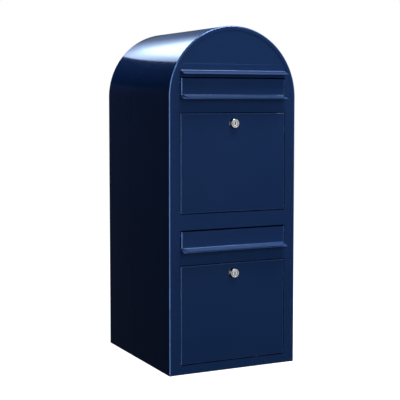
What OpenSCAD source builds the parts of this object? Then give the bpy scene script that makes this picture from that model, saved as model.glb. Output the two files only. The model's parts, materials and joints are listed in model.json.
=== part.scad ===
// Double mailbox: two compartments, one above the other, in a round-arched sheet-steel cabinet.
// Millimetres. +Z is up, the doors face -Y, and the origin is the middle of the base's underside.
// Most modules are drawn in front coordinates: y = 0 is the plane of the front rim, +y goes inwards.

/* [Cabinet] */
// Width of the cabinet, which is also the diameter of its arch
body_w = 380; // [315:5:460]
// Height of the cabinet from the base to the crown of the arch
body_h = 925; // [770:5:1110]
// Depth of the cabinet from rim to rim
body_d = 435; // [360:5:525]
// Thickness of every steel sheet
sheet_t = 1.2; // [1:0.1:1.5]
// Width of the front and rear rims
rim_w = 11.6; // [10:0.2:14]
// Outside radius of the hull's bent edges
rim_bend_r = 4; // [3:0.5:5]

/* [Layout] */
// Width of the panel strip beside each door, measured from the cabinet's side
side_band = 33; // [32:1:40]
// Height of the lower door's bottom edge
base_band = 26.5; // [24:0.5:34]
// Height from a door's top edge to the fold of the flap over it
slot_rise = 47.5; // [46:0.5:60]
// Height from the lower flap's top edge to the upper door's bottom edge
middle_band = 47.5; // [46:0.5:60]
// Height of the upper flap's fold over the arch's spring line
fold_over_spring = 6; // [0:1:10]
// Depth of the shelf's top below the upper door's bottom edge
shelf_drop = 12; // [10:1:14]

/* [Doors] */
// Depth of the door's folded edges
door_depth = 24; // [20:1:29]
// Outside radius of the door's front edges
door_edge_r = 2.5; // [2:0.1:4]
// Gap between a door and its opening
door_gap = 1.8; // [1.6:0.1:3]
// Depth of the hat channel behind a door
channel_depth = 18; // [12:1:19]
// Length of rubber in front of a door stop
bumper_l = 3; // [2:0.5:5]

/* [Flaps] */
// Height of a flap from its fold to its top edge
flap_h = 44; // [38:1:54]
// How much narrower a flap is than a door, on each side
flap_inset = 1; // [0.5:0.5:4]
// How far a flap stands in front of the rim
flap_proud = 3; // [2:0.5:3.5]
// Outside radius of a flap's upright edges
flap_edge_r = 4; // [3:0.5:5]
// Gap beside a flap
flap_side_gap = 2; // [1.5:0.5:4]
// Gap over a flap
flap_top_gap = 3.5; // [3.5:0.5:5]
// How far a flap's finger lip reaches in front of the rim
lip_reach = 20; // [14:1:24]
// Slope of the lips below the horizontal
lip_slope = 21; // [15:1:25]
// How much narrower the finger lip's tip is than its root, on each side
lip_corner = 12; // [6:1:16]
// How far a sill reaches in front of the rim
sill_reach = 20; // [16:1:30]
// Gap between the finger lip and the sill under it
lip_gap = 1; // [0.8:0.1:3]

/* [Visor] */
// Height of the visor's fold over the upper flap's top edge
visor_rise = 20.5; // [16:0.5:24]
// Height of the visor's flange
visor_h = 18; // [12:1:20]
// Radius of the flange's top corners
visor_corner_r = 13; // [8:1:14]
// How far the visor reaches in front of the rim
visor_reach = 22; // [16:1:32]
// Least gap between the visor's flange and the arched rim
visor_gap = 2; // [1:0.5:3]

/* [Mail guards] */
// How much narrower a guard is than a flap, on each side
guard_inset = 5; // [4:1:12]
// Height of a guard's fold over the top of its slot
guard_rise = 5; // [4:0.5:6]
// Depth of a guard's knee from the rim
guard_knee_y = 70; // [60:5:90]
// Depth of a guard's lower edge from the rim
guard_tip_y = 96; // [90:2:120]
// Height of a guard's upright part
guard_hang = 70; // [50:5:90]

/* [Hinges] */
// Radius of the hinge pins
pin_r = 1.5; // [1.2:0.1:2]
// Radial clearance of the doors and flaps on their pins
pin_gap = 0.05; // [0.02:0.01:0.08]
// Space between a pin and the back of the front panel
pin_web = 1.1; // [1:0.1:2]
// Height of a door's pins over its bottom edge
door_pin_rise = 5; // [4.5:0.5:7]
// Depth of a flap's pins below its top edge
flap_pin_drop = 10; // [9:0.5:12]
// Gap between an opening's side and the bracket beside it
bracket_gap = 1.5; // [1:0.5:2]
// Length of a bracket's tab along the panel
bracket_tab = 15; // [12:1:15]
// Half the height of a bracket
bracket_half = 7; // [6:0.5:8]

/* [Locks] */
// Depth of the lock's axis below the door's top edge
lock_drop = 27.5; // [26:0.5:38]
// Radius of the lock's bezel
bezel_r = 14.75; // [13:0.25:16]
// How far the bezel stands in front of the door
bezel_h = 8.5; // [6:0.5:9]
// Radius of the lock's threaded barrel
barrel_r = 9.5; // [9:0.25:10]
// Radius of the lock's plug
plug_r = 6.5; // [6:0.25:7]
// Radius of the plug's collar
collar_r = 8.6; // [8:0.1:9]
// Radial clearance of the plug in its barrel
plug_gap = 0.05; // [0.02:0.01:0.08]
// Thickness of the cam
cam_t = 2.5; // [2:0.5:3]
// Half the width of the cam
cam_half = 7; // [6:0.5:8]
// How far the locked cam reaches over the opening's edge
cam_overlap = 9.5; // [8:0.5:12]

/* [Mounting] */
// Radius of the fixing holes in the back and the base
mount_hole_r = 4.2; // [3:0.1:6]
// Distance across between the back's fixing holes
wall_span_x = 220; // [150:10:250]
// Height between the back's fixing holes
wall_span_z = 500; // [300:10:520]
// Height of the lower pair of wall-fixing holes
wall_hole_z = 180; // [120:10:200]
// Distance across between the base's fixing holes
base_span_x = 240; // [150:10:260]
// Distance from front to back between the base's fixing holes
base_span_y = 260; // [150:10:280]

/* [Hidden] */
$fn = 96;

// Colours
paint = [0.08, 0.15, 0.29];
lip_paint = [0.2, 0.33, 0.55];
chrome = [0.8, 0.81, 0.83];
zinc = [0.6, 0.62, 0.64];
rubber = [0.05, 0.05, 0.05];

// Small clearances
fit = 0.2;          // between a panel and the bent sheet round it
rest_gap = 0.3;     // between a rubber button and what rests on it
cut = 1;            // how far a cutting shape passes through a face

// Cabinet
hull_r = body_w / 2;
spring_z = body_h - hull_r;
panel_y = sheet_t;                              // front face of the front panel
inside_y = 2 * sheet_t;                         // back face of the front panel
panel_half = hull_r - rim_bend_r - fit;
// Half the width of what spans the hull: it clears the inside of the rim's bend at the front panel's back
wall_half = hull_r - rim_bend_r - fit
    + sqrt(pow(rim_bend_r - sheet_t, 2) - pow(rim_bend_r - inside_y, 2));
back_y = body_d - 2 * sheet_t;                  // front face of the back panel

// Places up the front, for the lower and the upper compartment
upper_fold_z = spring_z + fold_over_spring;
door_h = (upper_fold_z - base_band - 2 * slot_rise - flap_h - middle_band) / 2;
pitch = door_h + slot_rise + flap_h + middle_band;
LOWER = 0;
UPPER = 1;
function door_z(level) = base_band + level * pitch;
function door_top(level) = door_z(level) + door_h;
function fold_z(level) = door_top(level) + slot_rise;
function flap_top(level) = fold_z(level) + flap_h;
shelf_z = door_z(UPPER) - shelf_drop;

// Doors and flaps
door_half = hull_r - side_band;
door_open_half = door_half + door_gap;
flap_half = door_half - flap_inset;
slot_half = flap_half + flap_side_gap;
function slot_top(level) = flap_top(level) + flap_top_gap;
// Height of a sloping lip at depth y, with its top surface `drop` below the finger lip's top
function lip_z(level, y, drop) =
    fold_z(level) - drop / cos(lip_slope) + (y + flap_proud) * tan(lip_slope);
sill_drop = sheet_t + lip_gap;
function slot_bottom(level) = lip_z(level, panel_y, sill_drop + sheet_t) - rest_gap;
flange_h = 13;                                  // height of the plain flanges inside

// Hinges
pin_y = inside_y + pin_web + pin_r;
function door_pin_z(level) = door_z(level) + door_pin_rise;
function flap_pin_z(level) = flap_top(level) - flap_pin_drop;
ear_back = 5.5;                                 // metal behind a flap's pins
ear_low = 6;                                    // metal below a flap's pins
bracket_depth = 7;                              // metal behind a bracket's pin
pin_tail = 2;                                   // length of pin past the moving sheet
pin_head_r = pin_r + 0.8;

// Door stops
stop_drop = 45;                                 // depth of a door's stops below its top edge
stop_h = 16;
stop_reach = 8;                                 // how far a stop reaches in behind the door's edge
stop_y = door_depth + bumper_l;
bumper_r = 4;
flap_bumper_x = 0.7 * flap_half;

// Hat channel: half heights of its crown, of its feet's inner edges and of its outer edges
crown_half = 14;
foot_half = 20;
channel_half = 34;
channel_inset = 10;                             // from a door's side to the channel's end

// Locks
function lock_z(level) = door_top(level) - lock_drop;
barrel_end = door_depth - 0.5;
cam_y = door_depth + 1.2;
cam_l = lock_drop + door_gap + cam_overlap;
bezel_crown = 1.7;                              // radius that the bezel loses over its slope
boss_r = 4;                                     // plug's stem through the cam
nut_rim = 5;                                    // metal round the nut's bore, to its corners
nut_t = 4;
collar_sink = 0.6;                              // from the bezel's face down to the plug's face
collar_t = 2.2;
keyway_half = 1.3;
keyway_rise = 3.6;
keyway_depth = 16;
striker_y = cam_y - 0.8;                        // back face of the striker's catch
striker_rise = 3.5;                             // striker's web over the door opening
striker_half = 30;
screw_r = 2;
screw_head_h = 3;
screw_l = 9;
socket_r = 2;                                   // hexagon socket, to its corners
socket_depth = 1.6;

// Fasteners
rivet_r = 1.6;
rivet_head_r = 3;
rivet_head_h = 1.1;
rivet_tail_r = 2.5;
rivet_x = (hull_r - rim_w + panel_half) / 2;    // middle of the lap of rim and back panel

module at_front() { translate([0, -body_d / 2, 0]) children(); }

// Both sides, mirrored about the middle plane
module both_sides() { for (side = [0, 1]) mirror([side, 0, 0]) children(); }

// A y-z outline drawn out along x, from x0 to x1
module along_x(x0, x1) {
    translate([x0, 0, 0]) rotate([90, 0, 90]) linear_extrude(x1 - x0) children();
}

// An x-z outline as a sheet with its front face at depth y
module upright_sheet(y, t) { translate([0, y + t, 0]) rotate([90, 0, 0]) linear_extrude(t) children(); }

// Turns z to point inwards, at a point of the front
module facing_in(x, y, z) { translate([x, y, z]) rotate([-90, 0, 0]) children(); }

module rounded_box_2d(x0, x1, y0, y1, r) {
    translate([x0 + r, y0]) square([x1 - x0 - 2 * r, y1 - y0]);
    translate([x0, y0 + r]) square([x1 - x0, y1 - y0 - 2 * r]);
    for (x = [x0 + r, x1 - r], y = [y0 + r, y1 - r]) translate([x, y]) circle(r);
}

// A bent sheet seen edge on, along the middle of its thickness
module strip_2d(path) {
    for (i = [0 : len(path) - 2]) {
        run = path[i + 1] - path[i];
        translate(path[i]) rotate(atan2(run.y, run.x)) translate([0, -sheet_t / 2])
            square([norm(run), sheet_t]);
    }
    for (i = [1 : len(path) - 2]) translate(path[i]) circle(d = sheet_t);
}

module arch_2d(half) {
    translate([0, spring_z]) circle(half);
    translate([-half, 0]) square([2 * half, spring_z]);
}

// Section of the hull's wall: x from the middle plane, y inwards from the front rim
module hull_section_2d() {
    difference() {
        rounded_box_2d(0, hull_r, 0, body_d, rim_bend_r);
        rounded_box_2d(0, hull_r - sheet_t, sheet_t, body_d - sheet_t, rim_bend_r - sheet_t);
        translate([-cut, -cut]) square([hull_r - rim_w + cut, body_d + 2 * cut]);
    }
}

// Places each child at every rivet of the rear rim, with z pointing inwards from the rim's face
module at_rivets() {
    upright = 4;
    round = 7;
    for (i = [0 : upright - 1], side = [-1, 1])
        facing_out(side * rivet_x, spring_z * (i + 0.5) / upright) children();
    for (i = [0 : round - 1])
        facing_out(rivet_x * cos(180 * (i + 0.5) / round), spring_z + rivet_x * sin(180 * (i + 0.5) / round))
            children();
}

// Turns z to point out of the back, from the rear rim's face
module facing_out(x, z) { translate([x, body_d, z]) rotate([-90, 0, 0]) children(); }

module hull_shell() {
    color(paint) at_front() difference() {
        union() {
            translate([0, 0, spring_z]) rotate([90, 0, 0]) rotate_extrude(angle = 180)
                mirror([0, 1]) hull_section_2d();
            both_sides() linear_extrude(spring_z) hull_section_2d();
        }
        at_rivets() translate([0, 0, -sheet_t - cut]) cylinder(r = rivet_r, h = sheet_t + 2 * cut);
    }
}

module front_panel() {
    color(paint) at_front() upright_sheet(panel_y, sheet_t) difference() {
        arch_2d(panel_half);
        for (level = [LOWER, UPPER]) {
            translate([-door_open_half, door_z(level) - door_gap])
                square([2 * door_open_half, door_h + 2 * door_gap]);
            translate([-slot_half, slot_bottom(level)])
                square([2 * slot_half, slot_top(level) - slot_bottom(level)]);
        }
    }
}

module visor() {
    fold = flap_top(UPPER) + visor_rise;
    color(lip_paint) at_front() union() {
        upright_sheet(panel_y - sheet_t, sheet_t) intersection() {
            rounded_box_2d(-door_half, door_half, fold - 2 * visor_corner_r, fold + visor_h, visor_corner_r);
            translate([-door_half, fold]) square([2 * door_half, visor_h]);
            translate([0, spring_z]) circle(hull_r - rim_w - visor_gap);
        }
        along_x(-door_half, door_half)
            strip_2d([[sheet_t / 2, fold + sheet_t], [sheet_t / 2, fold],
                      [-visor_reach, fold - visor_reach * tan(lip_slope)]]);
    }
}

module back_panel() {
    color(paint) at_front() difference() {
        upright_sheet(back_y, sheet_t) arch_2d(panel_half);
        for (x = [-wall_span_x, wall_span_x] / 2, z = [wall_hole_z, wall_hole_z + wall_span_z])
            facing_in(x, back_y - cut, z) cylinder(r = mount_hole_r, h = sheet_t + 2 * cut);
        at_rivets() translate([0, 0, -2 * sheet_t - cut]) cylinder(r = rivet_r, h = 2 * sheet_t + 2 * cut);
    }
}

module back_rivets() {
    color(zinc) at_front() at_rivets() {
        translate([0, 0, -2 * sheet_t]) cylinder(r = rivet_r, h = 2 * sheet_t);
        cylinder(r1 = rivet_head_r, r2 = rivet_head_r - rivet_head_h, h = rivet_head_h);
        translate([0, 0, -2 * sheet_t - rivet_head_h]) cylinder(r = rivet_tail_r, h = rivet_head_h);
    }
}

module base_plate() {
    color(paint) difference() {
        translate([-wall_half, inside_y - body_d / 2, 0])
            cube([2 * wall_half, back_y - inside_y, flange_h + sheet_t]);
        translate([sheet_t - wall_half, inside_y - body_d / 2 + sheet_t, sheet_t])
            cube([2 * (wall_half - sheet_t), back_y - inside_y - 2 * sheet_t, flange_h + cut]);
        for (x = [-base_span_x, base_span_x] / 2, y = [-base_span_y, base_span_y] / 2)
            translate([x, y, -cut]) cylinder(r = mount_hole_r, h = sheet_t + 2 * cut);
    }
}

module divider_shelf() {
    z = shelf_z - sheet_t / 2;
    front = inside_y + sheet_t / 2;
    back = back_y - sheet_t / 2;
    color(paint) at_front() along_x(-wall_half, wall_half)
        strip_2d([[front, z - flange_h], [front, z], [back, z], [back, z - flange_h]]);
}

module slot_sill(level) {
    back = inside_y + sheet_t / 2;
    drop = sill_drop + sheet_t / 2;
    color(lip_paint) at_front() along_x(-door_half, door_half)
        strip_2d([[back, lip_z(level, back, drop) - flange_h], [back, lip_z(level, back, drop)],
                  [-sill_reach, lip_z(level, -sill_reach, drop)]]);
}

module mail_guard(level) {
    fold = slot_top(level) + guard_rise;
    knee = fold - 2 * guard_rise;
    front = inside_y + sheet_t / 2;
    color(paint) at_front() along_x(guard_inset - flap_half, flap_half - guard_inset)
        strip_2d([[front, fold + flange_h - sheet_t], [front, fold], [guard_knee_y, knee],
                  [guard_tip_y, knee - guard_hang]]);
}

module striker(level) {
    web = door_top(level) + door_gap + striker_rise;
    front = inside_y + sheet_t / 2;
    catch = striker_y - sheet_t / 2;
    color(zinc) at_front() along_x(-striker_half, striker_half)
        strip_2d([[front, web + flange_h], [front, web], [catch, web], [catch, web + flange_h]]);
}

// A pair of L brackets behind the front panel, with their pin holes at height z and a relief in each
// tab for the pin's head
module hinge_brackets(open_half, z) {
    inner = open_half + bracket_gap;
    color(zinc) at_front() both_sides() difference() {
        union() {
            translate([inner, inside_y, z - bracket_half])
                cube([sheet_t, pin_y + bracket_depth - inside_y, 2 * bracket_half]);
            translate([inner, inside_y, z - bracket_half]) cube([bracket_tab, sheet_t, 2 * bracket_half]);
        }
        translate([inner + sheet_t, inside_y - cut, z - pin_head_r - fit])
            cube([2 * sheet_t, sheet_t + 2 * cut, 2 * (pin_head_r + fit)]);
        translate([inner - cut, pin_y, z]) rotate([0, 90, 0]) cylinder(r = pin_r, h = sheet_t + cut);
    }
}

// A pair of pins, from inside the moving sheet at moving_half to a head beyond their brackets
module hinge_pins(moving_half, open_half, z) {
    inner = moving_half - sheet_t - pin_tail;
    outer = open_half + bracket_gap + sheet_t;
    color(zinc) at_front() both_sides() translate([inner, pin_y, z]) rotate([0, 90, 0]) {
        cylinder(r = pin_r, h = outer - inner);
        translate([0, 0, outer - inner]) cylinder(r = pin_head_r, h = sheet_t);
    }
}

module door_stops(level) {
    outer = door_open_half + bracket_gap + sheet_t / 2;
    color(zinc) at_front() both_sides() translate([0, 0, door_top(level) - stop_drop - stop_h / 2])
        linear_extrude(stop_h)
            strip_2d([[outer + bracket_tab, inside_y + sheet_t / 2], [outer, inside_y + sheet_t / 2],
                      [outer, stop_y + sheet_t / 2], [door_half - stop_reach, stop_y + sheet_t / 2]]);
}

module door_bumpers(level) {
    color(rubber) at_front() both_sides()
        facing_in(door_half - stop_reach + bumper_r, door_depth + rest_gap, door_top(level) - stop_drop)
            cylinder(r = bumper_r, h = bumper_l - rest_gap);
}

module flap_bumpers(level) {
    y = -(lip_reach + flap_proud) / 2;
    color(rubber) at_front() both_sides() translate([flap_bumper_x, y, lip_z(level, y, sill_drop)])
        rotate([lip_slope, 0, 0]) cylinder(r = bumper_r, h = lip_gap - rest_gap);
}

// A block with its front edges rounded, between the given planes
module front_rounded_block(half, z0, z1, y0, y1, r) {
    intersection() {
        translate([0, 0, z0]) linear_extrude(z1 - z0) rounded_box_2d(-half, half, y0, y1 + r, r);
        along_x(-half, half) rounded_box_2d(y0, y1 + r, z0, z1, r);
        translate([-half, y0, z0]) cube([2 * half, y1 - y0, z1 - z0]);
    }
}

module door_panel(level) {
    z0 = door_z(level);
    z1 = door_top(level);
    color(paint) at_front() difference() {
        front_rounded_block(door_half, z0, z1, 0, door_depth, door_edge_r);
        front_rounded_block(door_half - sheet_t, z0 + sheet_t, z1 - sheet_t, sheet_t, door_depth + cut,
                            door_edge_r - sheet_t);
        facing_in(0, -cut, lock_z(level)) cylinder(r = barrel_r, h = sheet_t + 2 * cut);
        translate([-hull_r, pin_y, door_pin_z(level)]) rotate([0, 90, 0])
            cylinder(r = pin_r + pin_gap, h = 2 * hull_r);
    }
}

module door_stiffener(level) {
    z = (door_z(level) + door_top(level)) / 2;
    front = 1.5 * sheet_t;
    top = sheet_t + channel_depth;
    color(paint) at_front() along_x(channel_inset - door_half, door_half - channel_inset)
        strip_2d([[front, z - channel_half], [front, z - foot_half], [top, z - crown_half],
                  [top, z + crown_half], [front, z + foot_half], [front, z + channel_half]]);
}

module lock_housing(level) {
    color(chrome) at_front() facing_in(0, 0, lock_z(level)) difference() {
        union() {
            translate([0, 0, -bezel_h / 3]) cylinder(r = bezel_r, h = bezel_h / 3);
            translate([0, 0, -bezel_h])
                cylinder(r1 = bezel_r - bezel_crown, r2 = bezel_r, h = bezel_h * 2 / 3);
            cylinder(r = barrel_r, h = barrel_end);
        }
        translate([0, 0, -bezel_h - cut]) cylinder(r = plug_r + plug_gap, h = bezel_h + barrel_end + 2 * cut);
        translate([0, 0, -bezel_h - cut])
            cylinder(r = collar_r + plug_gap, h = cut + collar_sink + collar_t + fit);
    }
}

module lock_nut(level) {
    color(zinc) at_front() facing_in(0, sheet_t, lock_z(level)) difference() {
        cylinder(r = barrel_r + nut_rim, h = nut_t, $fn = 6);
        translate([0, 0, -cut]) cylinder(r = barrel_r, h = nut_t + 2 * cut);
    }
}

module lock_plug(level) {
    face = collar_sink - bezel_h;
    color(chrome) at_front() facing_in(0, 0, lock_z(level)) difference() {
        union() {
            translate([0, 0, face]) cylinder(r = collar_r, h = collar_t);
            translate([0, 0, face]) cylinder(r = plug_r, h = cam_y - face);
            cylinder(r = boss_r, h = cam_y + cam_t);
        }
        translate([-keyway_half, -keyway_rise, face - cut])
            cube([2 * keyway_half, 2 * keyway_rise, keyway_depth + cut]);
        for (y = [-keyway_rise, keyway_rise])
            translate([0, y, face - cut]) cylinder(r = keyway_half, h = keyway_depth + cut);
        translate([0, 0, cam_y + cam_t - screw_l]) cylinder(r = screw_r, h = screw_l + cut);
    }
}

// The cam lies level, clear of the striker, and turns up behind it
module lock_cam(level) {
    color(zinc) at_front() facing_in(0, cam_y, lock_z(level)) difference() {
        union() {
            cylinder(r = cam_half + 1, h = cam_t);
            translate([-cam_l + cam_half, -cam_half, 0]) cube([cam_l - cam_half, 2 * cam_half, cam_t]);
            translate([-cam_l + cam_half, 0, 0]) cylinder(r = cam_half, h = cam_t);
        }
        translate([0, 0, -cut]) cylinder(r = boss_r, h = cam_t + 2 * cut);
    }
}

module cam_screw(level) {
    color(zinc) at_front() facing_in(0, cam_y + cam_t, lock_z(level)) difference() {
        union() {
            cylinder(r = boss_r + 1.5, h = screw_head_h);
            translate([0, 0, -screw_l]) cylinder(r = screw_r, h = screw_l);
        }
        translate([0, 0, screw_head_h - socket_depth]) cylinder(r = socket_r, h = screw_head_h, $fn = 6);
    }
}

module flap_panel(level) {
    fold = fold_z(level);
    leg = 1;            // how far the flap's side legs pass the rim's plane
    pin_z = flap_pin_z(level);
    lip_l = (lip_reach - flap_proud) / cos(lip_slope);
    root_half = flap_half - flap_edge_r / 2;
    tip_half = root_half - lip_corner;
    color(lip_paint) at_front() difference() {
        union() {
            translate([0, 0, fold]) linear_extrude(flap_h) difference() {
                rounded_box_2d(-flap_half, flap_half, -flap_proud, flap_h, flap_edge_r);
                rounded_box_2d(-flap_half + sheet_t, flap_half - sheet_t, sheet_t - flap_proud, flap_h,
                               flap_edge_r - sheet_t);
                translate([-flap_half - cut, leg]) square([2 * (flap_half + cut), flap_h]);
            }
            both_sides() along_x(flap_half - sheet_t, flap_half) {
                translate([0, pin_z]) square([pin_y + ear_back, flap_pin_drop]);
                translate([0, pin_z - ear_low]) square([pin_y, ear_low]);
                translate([pin_y, pin_z]) circle(ear_back);
            }
            translate([0, -flap_proud, fold]) rotate([lip_slope, 0, 0]) translate([0, 0, -sheet_t])
                linear_extrude(sheet_t)
                    polygon([[-root_half, sheet_t], [root_half, sheet_t], [root_half, 0], [tip_half, -lip_l],
                             [-tip_half, -lip_l], [-root_half, 0]]);
        }
        translate([-hull_r, pin_y, pin_z]) rotate([0, 90, 0]) cylinder(r = pin_r + pin_gap, h = 2 * hull_r);
    }
}

hull_shell();
front_panel();
visor();
back_panel();
back_rivets();
base_plate();
divider_shelf();
slot_sill(UPPER);  // upper_slot_sill
slot_sill(LOWER);  // lower_slot_sill
mail_guard(UPPER);  // upper_mail_guard
mail_guard(LOWER);  // lower_mail_guard
striker(UPPER);  // upper_striker
striker(LOWER);  // lower_striker
hinge_brackets(door_open_half, door_pin_z(UPPER));  // upper_door_brackets
hinge_brackets(door_open_half, door_pin_z(LOWER));  // lower_door_brackets
hinge_pins(door_half, door_open_half, door_pin_z(UPPER));  // upper_door_pins
hinge_pins(door_half, door_open_half, door_pin_z(LOWER));  // lower_door_pins
door_stops(UPPER);  // upper_door_stops
door_stops(LOWER);  // lower_door_stops
door_bumpers(UPPER);  // upper_door_bumpers
door_bumpers(LOWER);  // lower_door_bumpers
hinge_brackets(slot_half, flap_pin_z(UPPER));  // upper_flap_brackets
hinge_brackets(slot_half, flap_pin_z(LOWER));  // lower_flap_brackets
hinge_pins(flap_half, slot_half, flap_pin_z(UPPER));  // upper_flap_pins
hinge_pins(flap_half, slot_half, flap_pin_z(LOWER));  // lower_flap_pins
flap_bumpers(UPPER);  // upper_flap_bumpers
flap_bumpers(LOWER);  // lower_flap_bumpers
door_panel(UPPER);  // upper_door_panel
door_panel(LOWER);  // lower_door_panel
door_stiffener(UPPER);  // upper_door_stiffener
door_stiffener(LOWER);  // lower_door_stiffener
lock_housing(UPPER);  // upper_lock_housing
lock_housing(LOWER);  // lower_lock_housing
lock_nut(UPPER);  // upper_lock_nut
lock_nut(LOWER);  // lower_lock_nut
lock_plug(UPPER);  // upper_lock_plug
lock_plug(LOWER);  // lower_lock_plug
lock_cam(UPPER);  // upper_lock_cam
lock_cam(LOWER);  // lower_lock_cam
cam_screw(UPPER);  // upper_cam_screw
cam_screw(LOWER);  // lower_cam_screw
flap_panel(UPPER);  // upper_flap_panel
flap_panel(LOWER);  // lower_flap_panel
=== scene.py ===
"""Visual model of a double mailbox: a round-arched steel cabinet with two mail slots and two doors.

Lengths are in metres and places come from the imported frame. The doors face -Y, and z = 0 is the underside.
"""

from __future__ import annotations

import json
import logging
import math
from dataclasses import dataclass, field
from enum import Enum
from typing import Callable, Iterable, Sequence

import bmesh
import bpy
from mathutils import Matrix, Vector

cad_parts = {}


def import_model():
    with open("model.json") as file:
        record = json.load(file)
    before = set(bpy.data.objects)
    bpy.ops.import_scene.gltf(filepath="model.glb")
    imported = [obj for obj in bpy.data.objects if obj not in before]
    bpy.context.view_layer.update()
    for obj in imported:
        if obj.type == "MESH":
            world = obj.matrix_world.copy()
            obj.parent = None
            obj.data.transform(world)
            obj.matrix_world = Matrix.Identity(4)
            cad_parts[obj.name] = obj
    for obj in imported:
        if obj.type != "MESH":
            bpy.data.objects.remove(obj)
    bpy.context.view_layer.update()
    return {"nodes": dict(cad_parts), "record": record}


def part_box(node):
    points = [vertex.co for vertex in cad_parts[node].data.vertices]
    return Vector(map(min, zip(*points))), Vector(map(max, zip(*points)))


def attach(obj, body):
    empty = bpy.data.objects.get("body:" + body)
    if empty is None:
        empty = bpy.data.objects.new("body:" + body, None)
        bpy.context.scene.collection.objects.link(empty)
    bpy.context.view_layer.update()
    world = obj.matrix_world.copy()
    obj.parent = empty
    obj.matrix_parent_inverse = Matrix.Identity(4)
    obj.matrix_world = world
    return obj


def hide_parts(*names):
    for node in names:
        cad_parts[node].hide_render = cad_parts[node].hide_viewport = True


LOG = logging.getLogger("mailbox")
MM = 0.001
SHEET = 1.2 * MM
NARROW_FACET = 2 * MM
Colour = tuple[float, float, float]
Point = tuple[float, float]


class Level(Enum):
    """The compartment that a piece belongs to."""

    UPPER = "upper"
    LOWER = "lower"

    def node(self, piece: str) -> str:
        """Name of this compartment's copy of a piece."""
        return f"{self.value}_{piece}"


class Slot(Enum):
    """The record's material slots."""

    PAINT = "blue_paint"
    ZINC = "zinc_steel"
    CHROME = "lock_chrome"
    RUBBER = "black_rubber"


# ---------------------------------------------------------------- shader sockets


class Wire:
    """A shader socket that takes part in arithmetic."""

    def __init__(self, shader: Shader, socket: bpy.types.NodeSocket) -> None:
        """Wraps an output socket of a shader's node."""
        self.shader = shader
        self.socket = socket

    def _math(self, operation: str, first: Wire | float, second: Wire | float) -> Wire:
        """Adds a Math node on two values."""
        node = self.shader.node("ShaderNodeMath", {"operation": operation}, {0: first, 1: second})
        return Wire(self.shader, node.outputs[0])

    def __add__(self, other: Wire | float) -> Wire:
        """Sum."""
        return self._math("ADD", self, other)

    __radd__ = __add__

    def __sub__(self, other: Wire | float) -> Wire:
        """Difference."""
        return self._math("SUBTRACT", self, other)

    def __rsub__(self, other: float) -> Wire:
        """Reflected difference."""
        return self._math("SUBTRACT", other, self)

    def __mul__(self, other: Wire | float) -> Wire:
        """Product."""
        return self._math("MULTIPLY", self, other)

    __rmul__ = __mul__

    def __abs__(self) -> Wire:
        """Size without its sign."""
        return self._math("ABSOLUTE", self, 0.0)

    def __lt__(self, limit: float) -> Wire:
        """1 where the value is less than a limit, and 0 elsewhere."""
        return self._math("LESS_THAN", self, limit)

    def clamp(self) -> Wire:
        """The value held between 0 and 1."""
        return self._math("MINIMUM", self._math("MAXIMUM", self, 0.0), 1.0)


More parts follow.
